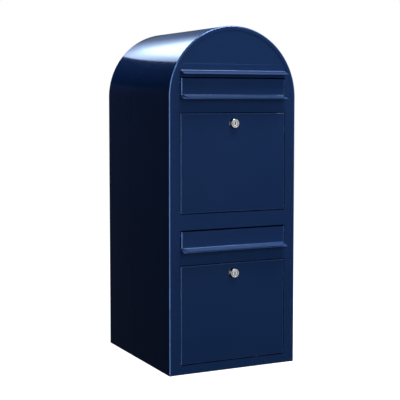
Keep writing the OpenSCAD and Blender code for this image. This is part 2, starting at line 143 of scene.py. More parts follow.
class Shader:
    """A node material built in code, on Object coordinates."""

    def __init__(self, name: str) -> None:
        """Starts an empty material with a Principled shader on its output."""
        self.material = bpy.data.materials.new(name)
        self.material.use_nodes = True
        self.tree = self.material.node_tree
        self.tree.nodes.clear()
        self.surface = self.node("ShaderNodeBsdfPrincipled")
        output = self.node("ShaderNodeOutputMaterial")
        self.tree.links.new(self.surface.outputs[0], output.inputs["Surface"])
        self.place = self.wire("ShaderNodeTexCoord", output="Object")

    def node(
        self,
        kind: str,
        settings: dict[str, object] | None = None,
        sockets: dict[int | str, object] | None = None,
    ) -> bpy.types.Node:
        """Adds one node.

        Args:
            kind: The node's type.
            settings: Its properties, set first. "stops" is a ramp's list of (position, grey) pairs.
            sockets: Values or wires for its inputs, by name or number.

        Returns:
            The new node.
        """
        node = self.tree.nodes.new(kind)
        for name, value in (settings or {}).items():
            if name == "stops":
                self._stops(node.color_ramp, value)
            else:
                setattr(node, name, value)
        for name, value in (sockets or {}).items():
            if isinstance(value, Wire):
                self.tree.links.new(value.socket, node.inputs[name])
            else:
                node.inputs[name].default_value = value
        return node

    @staticmethod
    def _stops(ramp: bpy.types.ColorRamp, stops: Sequence[Point]) -> None:
        """Sets a ramp's stops from (position, grey) pairs."""
        while len(ramp.elements) < len(stops):
            ramp.elements.new(1.0)
        for element, (position, grey) in zip(ramp.elements, stops):
            element.position = position
            element.color = (grey, grey, grey, 1.0)

    def wire(
        self,
        kind: str,
        settings: dict[str, object] | None = None,
        sockets: dict[int | str, object] | None = None,
        output: int | str = 0,
    ) -> Wire:
        """Adds one node and returns one of its outputs."""
        return Wire(self, self.node(kind, settings, sockets).outputs[output])

    def axes(self) -> tuple[Wire, Wire, Wire]:
        """The three Object coordinates."""
        split = self.node("ShaderNodeSeparateXYZ", {}, {"Vector": self.place})
        return Wire(self, split.outputs[0]), Wire(self, split.outputs[1]), Wire(self, split.outputs[2])

    def noise(self, scale: float, detail: float = 2.0, stretch: Colour = (1.0, 1.0, 1.0)) -> Wire:
        """Noise from 0 to 1 on Object coordinates.

        Args:
            scale: Features per metre.
            detail: Octaves.
            stretch: Scale of each axis before the noise.

        Returns:
            The noise's value.
        """
        at = self.wire("ShaderNodeMapping", {}, {"Vector": self.place, "Scale": stretch})
        return self.wire("ShaderNodeTexNoise", {}, {"Vector": at, "Scale": scale, "Detail": detail})

    def ramp(self, value: Wire, stops: Sequence[Point]) -> Wire:
        """A value passed through a grey ramp."""
        return self.wire("ShaderNodeValToRGB", {"stops": stops}, {"Fac": value})

    def blend(self, factor: Wire, first: Colour | Wire, second: Colour | Wire) -> Wire:
        """Mixes two colours.

        Args:
            factor: 0 gives the first colour and 1 the second.
            first: A colour or a wire.
            second: A colour or a wire.

        Returns:
            The mixed colour.
        """
        sockets = {0: factor}
        for number, colour in ((6, first), (7, second)):
            sockets[number] = colour if isinstance(colour, Wire) else (*colour, 1.0)
        return self.wire("ShaderNodeMix", {"data_type": "RGBA"}, sockets, output=2)

    def bump(self, height: Wire, distance: float, strength: float = 1.0, under: Wire | None = None) -> Wire:
        """A Bump node.

        Args:
            height: The height field.
            distance: Height in metres that a value of 1 stands for.
            strength: How much of it shows.
            under: A bump that lies under this one.

        Returns:
            The bumped normal.
        """
        sockets = {"Height": height, "Distance": distance, "Strength": strength}
        if under is not None:
            sockets["Normal"] = under
        return self.wire("ShaderNodeBump", {}, sockets)

    def set(self, **values: object) -> None:
        """Sets or links sockets of the Principled shader, named with underscores for spaces."""
        for name, value in values.items():
            socket = self.surface.inputs[name.replace("_", " ")]
            if isinstance(value, Wire):
                self.tree.links.new(value.socket, socket)
            else:
                socket.default_value = value


# ---------------------------------------------------------------- finishes


@dataclass(frozen=True)
class GlossPaint:
    """Deep blue powder coat with a high gloss."""

    name: str = "gloss_blue_powder_coat"
    deep: Colour = (0.0155, 0.0450, 0.150)
    light: Colour = (0.0190, 0.0540, 0.175)
    # The next two set the painted highlight on bends and lips: its paler blue and its metallic share.
    edge: Colour = (0.125, 0.24, 0.58)
    highlight_metallic: float = 0.4
    roughness: float = 0.09
    peel_per_metre: float = 420.0
    wave_per_metre: float = 5.0

    def material(self) -> bpy.types.Material:
        """Builds the paint: slow colour drift, orange peel, faint waves of the sheet, and a painted highlight
        that lightens bends and lips.
        """
        shader = Shader(self.name)
        drift = shader.noise(7.0, 3.0)
        smudge = shader.ramp(shader.noise(24.0, 5.0), [(0.45, 0.0), (0.75, 1.0)])
        colour = shader.blend(drift, self.deep, self.light)
        # Painted highlight: this attribute lightens bends and lips towards the paler blue and makes them
        # partly metallic, broken up by a grain noise.
        worn = shader.wire("ShaderNodeAttribute", {"attribute_name": "worn"}, output="Fac")
        grain = shader.ramp(shader.noise(160.0, 3.0), [(0.3, 0.55), (0.7, 1.0)])
        painted_highlight = (worn * grain).clamp()
        colour = shader.blend(painted_highlight, colour, self.edge)
        waves = shader.bump(shader.noise(self.wave_per_metre, 1.0), 0.3 * MM, 0.3)
        peel = shader.bump(shader.noise(self.peel_per_metre, 2.0), 0.01 * MM, 0.35, waves)
        shader.set(
            Base_Color=colour,
            Metallic=self.highlight_metallic * painted_highlight,
            Roughness=self.roughness + 0.04 * drift + 0.06 * smudge,
            Specular_IOR_Level=0.5,
            Coat_Weight=0.2,
            Coat_Roughness=0.05,
            Normal=peel,
        )
        return shader.material


@dataclass(frozen=True)
class ZincPlate:
    """Bright zinc plating on small steel parts."""

    name: str = "bright_zinc"
    pale: Colour = (0.56, 0.57, 0.58)
    straw: Colour = (0.50, 0.47, 0.38)

    def material(self) -> bpy.types.Material:
        """Builds the plating: cloudy passivation, fine rolling lines and soft spangle."""
        shader = Shader(self.name)
        cloud = shader.ramp(shader.noise(60.0, 4.0), [(0.35, 0.0), (0.7, 1.0)])
        lines = shader.noise(900.0, 2.0, (0.06, 1.0, 1.0))
        spangle = shader.noise(220.0, 1.0)
        shader.set(
            Base_Color=shader.blend(0.45 * cloud, self.pale, self.straw),
            Metallic=1.0,
            Roughness=0.28 + 0.14 * cloud + 0.06 * spangle,
            Normal=shader.bump(lines, 0.01 * MM, 0.4),
        )
        return shader.material


@dataclass(frozen=True)
class Chrome:
    """Polished chromium on the locks."""

    name: str = "polished_chrome"
    colour: Colour = (0.70, 0.71, 0.73)

    def material(self) -> bpy.types.Material:
        """Builds the chrome: a mirror with handling marks and hair scratches."""
        shader = Shader(self.name)
        marks = shader.ramp(shader.noise(90.0, 4.0), [(0.45, 0.0), (0.8, 1.0)])
        hair = shader.noise(1400.0, 2.0, (1.0, 1.0, 0.05))
        shader.set(
            Base_Color=shader.blend(0.3 * marks, self.colour, (0.5, 0.51, 0.53)),
            Metallic=1.0,
            Roughness=0.07 + 0.10 * marks,
            Normal=shader.bump(hair, 0.004 * MM, 0.25),
        )
        return shader.material


@dataclass(frozen=True)
class Rubber:
    """Black moulded rubber."""

    name: str = "black_rubber"
    colour: Colour = (0.018, 0.018, 0.019)

    def material(self) -> bpy.types.Material:
        """Builds the rubber: matt, with a fine moulded grain and a little dust."""
        shader = Shader(self.name)
        grain = shader.noise(1500.0, 2.0)
        dust = shader.ramp(shader.noise(120.0, 4.0), [(0.5, 0.0), (0.85, 1.0)])
        shader.set(
            Base_Color=shader.blend(0.25 * dust, self.colour, (0.09, 0.088, 0.083)),
            Roughness=0.62 + 0.2 * dust,
            Normal=shader.bump(grain, 0.03 * MM, 0.6),
        )
        return shader.material


@dataclass(frozen=True)
class StudioFloor:
    """Plain white floor, bright enough to merge with the white surroundings."""

    name: str = "white_floor"
    glow: float = 1.0
    # The cabinet's footprint, where a shadow is painted on the floor.
    shaded_footprint: Point = (0.186, 0.213)

    def material(self) -> bpy.types.Material:
        """Builds the floor: a white surface that glows, with a painted shadow under the cabinet's footprint
        where the glow is nearly off.
        """
        shader = Shader(self.name)
        x, y, _ = shader.axes()
        # Painted shadow: the glow drops nearly to black inside the footprint.
        shaded_footprint = (abs(x) < self.shaded_footprint[0]) * (abs(y) < self.shaded_footprint[1])
        shader.set(
            Base_Color=(0.50, 0.50, 0.50, 1.0),
            Roughness=0.9,
            Emission_Color=shader.blend(shaded_footprint, (1.0, 1.0, 1.0), (0.01, 0.01, 0.01)),
            Emission_Strength=self.glow,
        )
        return shader.material


@dataclass(frozen=True)
class GradedPanel:
    """A lit diffuser: it fades to one side and upwards, and stops sharply at a slanting lower edge."""

    name: str = "graded_panel"
    colour: Colour = (0.54, 0.70, 1.0)
    strength: float = 9.0
    slant: float = 0.6
    foot: float = 1.27
    across_stops: tuple[Point, ...] = (
        (0.0, 1.0), (0.15, 0.85), (0.25, 0.6), (0.35, 0.30),
        (0.45, 0.16), (0.55, 0.08), (0.65, 0.04), (0.9, 0.02),
    )
    up_stops: tuple[Point, ...] = (
        (0.0, 0.0), (0.04, 0.0), (0.07, 0.34), (0.2, 0.43), (0.3, 0.52), (0.4, 0.66), (0.5, 0.85), (0.7, 1.0)
    )

    def material(self) -> bpy.types.Material:
        """Builds the diffuser's glow from its height above the slanting edge and its place across."""
        shader = Shader(self.name)
        across, _, up = shader.axes()
        fade = shader.ramp(across + 0.25, self.across_stops)
        above = shader.ramp((up + self.slant * across - self.foot) * 2.0, self.up_stops)
        shader.set(
            Base_Color=(0.0, 0.0, 0.0, 1.0),
            Specular_IOR_Level=0.0,
            Emission_Color=shader.blend(fade * above, (0.0, 0.0, 0.0), self.colour),
            Emission_Strength=self.strength,
        )
        return shader.material


# ---------------------------------------------------------------- the workshop


@dataclass
class Workshop:
    """Holds the finishes, and turns finished bmeshes into pieces of the mailbox."""

    record: dict
    nodes: dict[str, bpy.types.Object]
    slots: dict[Slot, bpy.types.Material] = field(default_factory=dict)
    plated: list[bpy.types.Object] = field(default_factory=list)
    replaced: set[str] = field(default_factory=set)
    smooth_angle: float = math.radians(32)
    edge_width: float = 0.35 * MM

    def __post_init__(self) -> None:
        """Makes each finish once."""
        for slot, finish in (
            (Slot.PAINT, GlossPaint()),
            (Slot.ZINC, ZincPlate()),
            (Slot.CHROME, Chrome()),
            (Slot.RUBBER, Rubber()),
        ):
            self.slots[slot] = finish.material()

    def refine_rest(self) -> None:
        """Remakes the CAD nodes that no piece stands for, with fine rounded edges."""
        slot_of = {row["node"]: Slot(row["material_slot"]) for row in self.record["subparts"]}
        body_of = {node: body for body, nodes in self.record["behaviour"]["bodies"].items() for node in nodes}
        for name in sorted(set(self.nodes) - self.replaced):
            bm = bmesh.new()
            bm.from_mesh(self.nodes[name].data)
            bmesh.ops.remove_doubles(bm, verts=bm.verts, dist=2e-6)
            bmesh.ops.dissolve_limit(
                bm,
                angle_limit=math.radians(0.5),
                verts=bm.verts,
                edges=bm.edges,
                use_dissolve_boundaries=False,
            )
            self.place(bm, f"{name}_finished", slot_of[name], body_of[name], [name], edge=0.2 * MM)

    def place(
        self,
        bm: bmesh.types.BMesh,
        name: str,
        slot: Slot,
        body: str,
        stands_for: Sequence[str] = (),
        sheet: float = 0.0,
        edge: float | None = None,
        bend_highlight: float = 0.0,
        lip_highlight: Callable[[Vector], float] | None = None,
    ) -> bpy.types.Object:
        """Makes a piece from a bmesh.

        Args:
            bm: The piece's shape, in the frame's coordinates. It is freed.
            name: The piece's name.
            slot: Its finish.
            body: The body it rides on.
            stands_for: CAD nodes that it replaces.
            sheet: Thickness to give to a surface, centred on it. 0 for a closed shape.
            edge: Width of the rounding on its sharp edges, or None for the usual one.
            bend_highlight: Strength of the painted highlight on the narrow facets of rounded bends.
            lip_highlight: Strength of the painted highlight at a place, or None for none.

        Returns:
            The new object.
        """
        mesh = bpy.data.meshes.new(name)
        bmesh.ops.recalc_face_normals(bm, faces=bm.faces)
        if not sheet and bm.calc_volume(signed=True) < 0:
            bmesh.ops.reverse_faces(bm, faces=bm.faces)
        # Painted highlight on bends and lips, written as a vertex attribute.
        if bend_highlight or lip_highlight:
            self.mark_painted_highlight(bm, bend_highlight, lip_highlight)
        bm.to_mesh(mesh)
        bm.free()
        mesh.materials.append(self.slots[slot])
        mesh.polygons.foreach_set("use_smooth", [True] * len(mesh.polygons))
        mesh.set_sharp_from_angle(angle=self.smooth_angle)
        piece = bpy.data.objects.new(name, mesh)
        bpy.context.collection.objects.link(piece)
        if slot is Slot.CHROME:
            self.plated.append(piece)
        self.replaced.update(stands_for)
        if sheet:
            wall = piece.modifiers.new("sheet", "SOLIDIFY")
            wall.thickness = sheet
            wall.offset = 0.0
            wall.use_even_offset = True
        width = self.edge_width if edge is None else edge
        if width:
            rounding = piece.modifiers.new("edges", "BEVEL")
            rounding.width = width
            rounding.segments = 3
            rounding.limit_method = "ANGLE"
            rounding.angle_limit = math.radians(40)
            rounding.harden_normals = True
        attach(piece, body)
        if stands_for:
            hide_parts(*stands_for)
        LOG.info("made %s for %s", name, ", ".join(stands_for) or body)
        return piece

    @staticmethod
    def mark_painted_highlight(bm: bmesh.types.BMesh, bend_highlight: float, lip_highlight: Callable[[Vector], float] | None) -> None:
        """Writes the attribute "worn", a painted highlight: every vertex takes what the given function
        returns, and the narrow facets of each rounded bend take the bend strength.
        """
        layer = bm.verts.layers.float.new("worn")
        if lip_highlight:
            for vert in bm.verts:
                vert[layer] = lip_highlight(vert.co)
        narrow = {
            face
            for face in bm.faces
            if face.calc_area() < NARROW_FACET * max(edge.calc_length() for edge in face.edges)
        }
        # Painted highlight: the narrow facets of rounded bends take the bend strength.
        for edge in bm.edges:
            if len(edge.link_faces) == 2 and 0.17 < abs(edge.calc_face_angle()) < 1.0:
                for vert in edge.verts:
                    if narrow.issuperset(vert.link_faces):
                        vert[layer] = bend_highlight


# ---------------------------------------------------------------- shapes shared by several pieces


def wire_path(bm: bmesh.types.BMesh, points: Iterable[Colour]) -> list[bmesh.types.BMEdge]:
    """Adds a run of edges through points and returns them."""
    verts = [bm.verts.new(point) for point in points]
    return [bm.edges.new(pair) for pair in zip(verts, verts[1:])]


def extrude(
    bm: bmesh.types.BMesh, edges: Iterable[bmesh.types.BMEdge], by: Colour
) -> list[bmesh.types.BMVert]:
    """Extrudes edges by a vector and returns the new vertices."""
    made = bmesh.ops.extrude_edge_only(bm, edges=list(edges))["geom"]
    verts = [item for item in made if isinstance(item, bmesh.types.BMVert)]
    bmesh.ops.translate(bm, verts=verts, vec=by)
    return verts


def thicken(bm: bmesh.types.BMesh) -> None:
    """Gives a flat upright sheet its thickness, half of it to the front and half to the back."""
    bmesh.ops.translate(bm, verts=bm.verts, vec=(0, -SHEET / 2, 0))
    grown = bmesh.ops.extrude_face_region(bm, geom=bm.faces[:])["geom"]
    rear = [item for item in grown if isinstance(item, bmesh.types.BMVert)]
    bmesh.ops.translate(bm, verts=rear, vec=(0, SHEET, 0))


def edges_where(bm: bmesh.types.BMesh, test: Callable[[Vector], bool]) -> list[bmesh.types.BMEdge]:
    """Edges with both ends at places that pass a test."""
    return [edge for edge in bm.edges if all(test(vert.co) for vert in edge.verts)]


def round_edges(
    bm: bmesh.types.BMesh, edges: Sequence[bmesh.types.BMEdge], radius: float, steps: int
) -> None:
    """Rounds edges where a sheet folds."""
    bmesh.ops.bevel(
        bm, geom=list(edges), offset=radius, segments=steps, affect="EDGES", profile=0.5, material=-1
    )


def round_corners(
    bm: bmesh.types.BMesh, verts: Sequence[bmesh.types.BMVert], radius: float, steps: int
) -> None:
    """Rounds the corners of a flat outline."""
    bmesh.ops.bevel(
        bm, geom=list(verts), offset=radius, segments=steps, affect="VERTICES", profile=0.5, material=-1
    )


def folded_strip(profile: Sequence[Point], half: float, fold_radius: float) -> bmesh.types.BMesh:
    """Bends a strip along a (y, z) profile, centred on x = 0.

    Args:
        profile: Corners of the middle of the sheet.
        half: Half the strip's width.
        fold_radius: Radius at each inner corner.

    Returns:
        The strip's middle surface.
    """
    bm = bmesh.new()
    extrude(bm, wire_path(bm, [(-half, y, z) for y, z in profile]), (2 * half, 0, 0))
    for y, z in profile[1:-1]:
        corner = edges_where(bm, lambda co: math.hypot(co.y - y, co.z - z) < 1e-5)
        round_edges(bm, corner, fold_radius, 6)
    return bm


def turned(profile: Sequence[Point], centre: Vector, steps: int = 96) -> bmesh.types.BMesh:
    """Turns an (r, y) profile round the y direction.

    Args:
        profile: Radius from the axis, and depth behind the centre.
        centre: A point on the axis.
        steps: Steps of the full turn.

    Returns:
        The turned shape.
    """
    bm = bmesh.new()
    edges = wire_path(bm, [(centre.x + r, centre.y + y, centre.z) for r, y in profile])
    geom = list(bm.verts) + edges
    bmesh.ops.spin(
        bm,
        geom=geom,
        cent=centre,
        axis=(0, 1, 0),
        dvec=(0, 0, 0),
        angle=math.tau,
        steps=steps,
        use_merge=True,
    )
    bmesh.ops.remove_doubles(bm, verts=bm.verts, dist=1e-6)
    return bm


def arc(centre: Point, radius: float, start: float, end: float, steps: int) -> list[Point]:
    """Points along an arc, from one angle to another in degrees."""
    turn = [math.radians(start + (end - start) * i / steps) for i in range(steps + 1)]
    return [(centre[0] + radius * math.cos(a), centre[1] + radius * math.sin(a)) for a in turn]


# ---------------------------------------------------------------- the cabinet


@dataclass
class Cabinet:
    """The arched hull with its front panel, back panel and rivets."""

    shop: Workshop
    bend_radius: float = 4 * MM
    rim_width: float = 11.6 * MM
    door_gap: float = 1.8 * MM
    slot_side_gap: float = 2 * MM
    slot_top_gap: float = 3.5 * MM
    arch_steps: int = 128
    low: Vector = field(init=False)
    high: Vector = field(init=False)

    def __post_init__(self) -> None:
        """Reads the hull's box from the frame."""
        self.low, self.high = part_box("hull_shell")

    @property
    def radius(self) -> float:
        """Outside radius of the arch."""
        return self.high.x

    @property
    def spring(self) -> float:
        """Height at which the straight sides meet the arch."""
        return self.high.z - self.radius

    def out(self, co: Vector) -> float:
        """Distance of a point from the arch's centre, or from the middle plane below the spring line."""
        return math.hypot(co.x, max(co.z - self.spring, 0.0))

    def build(self) -> None:
        """Builds all of the cabinet's outer pieces."""
        self.hull()
        self.front_panel()
        self.back_panel()
        self.rivets()

    def hull(self) -> None:
        """Wraps the sides and the barrel top, with rims turned in at the front and the back."""
        bm = bmesh.new()
        wall = self.radius - SHEET / 2
        rim = self.radius - self.rim_width
        front, back = self.low.y + SHEET / 2, self.high.y - SHEET / 2
        side = [(rim, front), (wall, front), (wall, back), (rim, back)]
        edges = wire_path(bm, [(x, y, self.spring) for x, y in side])
        geom = list(bm.verts) + edges
        last = bmesh.ops.spin(
            bm,
            geom=geom,
            cent=(0, 0, self.spring),
            axis=(0, 1, 0),
            dvec=(0, 0, 0),
            angle=-math.pi,
            steps=self.arch_steps,
        )["geom_last"]
        ends = edges + [item for item in last if isinstance(item, bmesh.types.BMEdge)]
        extrude(bm, ends, (0, 0, -self.spring))
        for y in (front, back):
            bend = edges_where(bm, lambda co: abs(co.y - y) < 1e-5 and abs(self.out(co) - wall) < 1e-5)
            round_edges(bm, bend, self.bend_radius - SHEET / 2, 6)
        # The rims' bends get a painted highlight.
        self.shop.place(bm, "hull", Slot.PAINT, "cabinet", ["hull_shell"], sheet=SHEET, bend_highlight=1.0)

    def arched_sheet(self, node: str) -> bmesh.types.BMesh:
        """A flat sheet with an arched top and the box of a CAD node, at the middle of its depth."""
        low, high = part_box(node)
        half, depth = high.x, (low.y + high.y) / 2
        bm = bmesh.new()
        bmesh.ops.create_circle(bm, cap_ends=True, radius=half, segments=2 * self.arch_steps)
        bmesh.ops.rotate(bm, verts=bm.verts, matrix=Matrix.Rotation(math.pi / 2, 3, "X"))
        bmesh.ops.translate(bm, verts=bm.verts, vec=(0, depth, self.spring))
        bmesh.ops.bisect_plane(
            bm,
            geom=bm.verts[:] + bm.edges[:] + bm.faces[:],
            plane_co=(0, 0, self.spring),
            plane_no=(0, 0, -1),
            clear_outer=True,
        )
        foot = edges_where(bm, lambda co: abs(co.z - self.spring) < 1e-6)
        extrude(bm, foot, (0, 0, -self.spring))
        return bm

    def openings(self) -> list[tuple[float, float, float]]:
        """Half width, bottom and top of each opening in the front panel."""
        found = []
        for level in Level:
            low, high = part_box(level.node("door_panel"))
            found.append((high.x + self.door_gap, low.z - self.door_gap, high.z + self.door_gap))
            low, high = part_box(level.node("flap_panel"))
            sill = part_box(level.node("slot_sill"))[1]
            found.append((high.x + self.slot_side_gap, sill.z - 2 * SHEET, high.z + self.slot_top_gap))
        return found

    def front_panel(self) -> None:
        """Cuts the four openings out of the arched front sheet."""
        bm = self.arched_sheet("front_panel")
        for half, bottom, top in self.openings():
            for place, normal in (
                ((half, 0, 0), (1, 0, 0)),
                ((-half, 0, 0), (1, 0, 0)),
                ((0, 0, bottom), (0, 0, 1)),
                ((0, 0, top), (0, 0, 1)),
            ):
                geom = bm.verts[:] + bm.edges[:] + bm.faces[:]
                bmesh.ops.bisect_plane(bm, geom=geom, plane_co=place, plane_no=normal)
            cut = [
                face
                for face in bm.faces
                if abs(face.calc_center_median().x) < half and bottom < face.calc_center_median().z < top
            ]
            bmesh.ops.delete(bm, geom=cut, context="FACES")
        flat = [edge for edge in bm.edges if len(edge.link_faces) == 2]
        bmesh.ops.dissolve_limit(
            bm, angle_limit=math.radians(0.2), verts=bm.verts, edges=flat, use_dissolve_boundaries=False
        )
        thicken(bm)
        self.shop.place(bm, "front_sheet", Slot.PAINT, "cabinet", ["front_panel"])

    def back_panel(self) -> None:
        """Sets the arched back sheet behind the rear rim."""
        bm = self.arched_sheet("back_panel")
        thicken(bm)
        self.shop.place(bm, "back_sheet", Slot.PAINT, "cabinet", ["back_panel"])

    def rivets(self) -> None:
        """Domed rivets round the rear rim, as one piece."""
        low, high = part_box("back_rivets")
        head_radius = 3 * MM
        height = high.y - self.high.y
        line = high.x - head_radius
        places = [
            (side * line, self.spring * (i + 0.5) / 4) for i in range(4) for side in (-1, 1)
        ]
        places += [(x, self.spring + z) for x, z in arc((0, 0), line, 90 / 7, 180 - 90 / 7, 6)]
        tail = low.y - self.high.y
        bm = bmesh.new()
        for x, z in places:
            profile = [(0, height)]
            profile += [(head_radius * math.sin(a), height * math.cos(a)) for a in (0.3, 0.6, 0.9, 1.2, 1.5)]
            profile += [(1.6 * MM, 0), (1.6 * MM, tail + 1.1 * MM), (2.5 * MM, tail + 1.1 * MM)]
            profile += [(2.5 * MM, tail + 0.3 * MM), (2.2 * MM, tail), (0, tail)]
            one = turned(profile, Vector((x, self.high.y, z)), 24)
            mesh = bpy.data.meshes.new("rivet")
            one.to_mesh(mesh)
            one.free()
            bm.from_mesh(mesh)
            bpy.data.meshes.remove(mesh)
        self.shop.place(bm, "rear_rivets", Slot.ZINC, "cabinet", ["back_rivets"], edge=0.0)


# ---------------------------------------------------------------- the slots


@dataclass
class MailSlot:
    """One slot's sill and flap, and the visor over the upper one."""

    shop: Workshop
    level: Level
    flap_height: float = 44 * MM
    flap_edge_radius: float = 4 * MM
    lip_slope: float = math.radians(21)
    lip_corner: float = 12 * MM
    fold_radius: float = 1.8 * MM
    # Strength of the painted highlight that lightens the lips of the sill, flap and visor.
    lip_highlight_strength: float = 0.7

    def build(self) -> None:
        """Builds the pieces of this slot."""
        self.sill()
        self.flap()
        if self.level is Level.UPPER:
            self.visor()

    def lip_highlight(self, co: Vector) -> float:
        """Strength of the painted highlight on a lip: only in front of the flap's face."""
        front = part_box("hull_shell")[0].y
        return self.lip_highlight_strength if co.y < front - 3.2 * MM else 0.0

    def sill(self) -> None:
        """The folded strip under the flap, which carries mail over the slot's lower edge."""
        node = self.level.node("slot_sill")
        low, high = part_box(node)
        back = high.y - SHEET / 2
        top = high.z - SHEET / 2
        tip = low.y
        profile = [(back, low.z), (back, top), (tip, top - (back - tip) * math.tan(self.lip_slope))]
        bm = folded_strip(profile, high.x, self.fold_radius)
        name = f"{self.level.value}_sill"
        # The sill's lip gets a painted highlight.
        self.shop.place(bm, name, Slot.PAINT, "cabinet", [node], SHEET, lip_highlight=self.lip_highlight)

    def flap(self) -> None:
        """The flap: a face with returned sides, hinge ears at the top and a finger lip at the bottom."""
        node = self.level.node("flap_panel")
        low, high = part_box(node)
        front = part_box("hull_shell")[0].y
        half = high.x - SHEET / 2
        fold = high.z - self.flap_height
        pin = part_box(self.level.node("flap_pins"))
        pin_y, pin_z = (pin[0].y + pin[1].y) / 2, (pin[0].z + pin[1].z) / 2
        face = front - 3 * MM + SHEET / 2
        leg = front + 1 * MM
        ear_low = pin_z - 6 * MM
        bm = bmesh.new()
        outline = [(-half, leg, fold), (-half, face, fold), (half, face, fold), (half, leg, fold)]
        lower = wire_path(bm, outline)
        extrude(bm, lower, (0, 0, ear_low - fold))
        upper = edges_where(bm, lambda co: abs(co.z - ear_low) < 1e-6)
        extrude(bm, upper, (0, 0, high.z - ear_low))
        corners = edges_where(bm, lambda co: abs(abs(co.x) - half) < 1e-6 and abs(co.y - face) < 1e-6)
        round_edges(bm, corners, self.flap_edge_radius - SHEET / 2, 6)
        ears = edges_where(bm, lambda co: abs(co.y - leg) < 1e-6 and co.z > ear_low - 1e-6)
        upright = [edge for edge in ears if abs(edge.verts[0].co.z - edge.verts[1].co.z) > 1 * MM]
        tips = extrude(bm, upright, (0, pin_y + 5.5 * MM - leg, 0))
        round_corners(bm, tips, 5 * MM, 6)
        root = [
            edge
            for edge in edges_where(bm, lambda co: abs(co.z - fold) < 1e-6 and abs(co.y - face) < 1e-6)
            if edge.calc_length() > high.x
        ]
        reach = face - low.y
        drop = reach * math.tan(self.lip_slope)
        tip = extrude(bm, root, (0, -reach, -drop))
        root_half = max(abs(vert.co.x) for vert in root[0].verts)
        tip_half = high.x - self.flap_edge_radius / 2 - self.lip_corner
        bmesh.ops.scale(bm, verts=tip, vec=(tip_half / root_half, 1, 1))
        crease = [
            edge
            for edge in edges_where(bm, lambda co: abs(co.z - fold) < 1e-6 and abs(co.y - face) < 1e-6)
            if edge.calc_length() > high.x
        ]
        round_edges(bm, crease, self.fold_radius, 5)
        # The flap's side bends and lip get a painted highlight.
        self.shop.place(
            bm,
            f"{self.level.value}_flap_sheet",
            Slot.PAINT,
            f"{self.level.value}_flap",
            [node],
            SHEET,
            bend_highlight=0.9,
            lip_highlight=self.lip_highlight,
        )

    def visor(self) -> None:
        """The rain visor over the upper slot, with rounded upper corners."""
        low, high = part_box("visor")
        back = high.y - SHEET / 2
        corner = 13 * MM
        reach = back - low.y
        fold = high.z - 18 * MM
        profile = [(back, high.z), (back, fold), (low.y, fold - reach * math.tan(self.lip_slope))]
        bm = folded_strip(profile, high.x, self.fold_radius)
        tops = [vert for vert in bm.verts if abs(vert.co.z - high.z) < 1e-6]
        round_corners(bm, tops, corner, 10)
        # The visor's folds and lip get a painted highlight.
        self.shop.place(
            bm, "rain_visor", Slot.PAINT, "cabinet", ["visor"], SHEET, bend_highlight=0.5, lip_highlight=self.lip_highlight
        )


# ---------------------------------------------------------------- doors and locks


@dataclass
class Door:
    """One door's pan with its lock."""

    shop: Workshop
    level: Level
    edge_radius: float = 2.5 * MM

    def build(self) -> None:
        """Builds the pan and the lock in it."""
        self.pan()
        Lock(self.shop, self.level).build()

    def pan(self) -> None:
        """A folded pan, open at the back."""
        node = self.level.node("door_panel")
        low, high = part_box(node)
        inset = Vector((SHEET, SHEET, SHEET)) / 2
        low, high = low + inset, high - Vector((inset.x, 0, inset.z))
        bm = bmesh.new()
        bmesh.ops.create_cube(bm, size=1.0)
        bmesh.ops.scale(bm, verts=bm.verts, vec=high - low)
        bmesh.ops.translate(bm, verts=bm.verts, vec=(low + high) / 2)
        rear = [face for face in bm.faces if face.calc_center_median().y > high.y - 1e-6]
        bmesh.ops.delete(bm, geom=rear, context="FACES_ONLY")
        folds = edges_where(bm, lambda co: abs(co.y - low.y) < 1e-6)
        round_edges(bm, folds, self.edge_radius - SHEET / 2, 6)
        body = f"{self.level.value}_door"
        # The pan's folds get a painted highlight.
        self.shop.place(bm, f"{body}_pan", Slot.PAINT, body, [node], SHEET, bend_highlight=0.5)


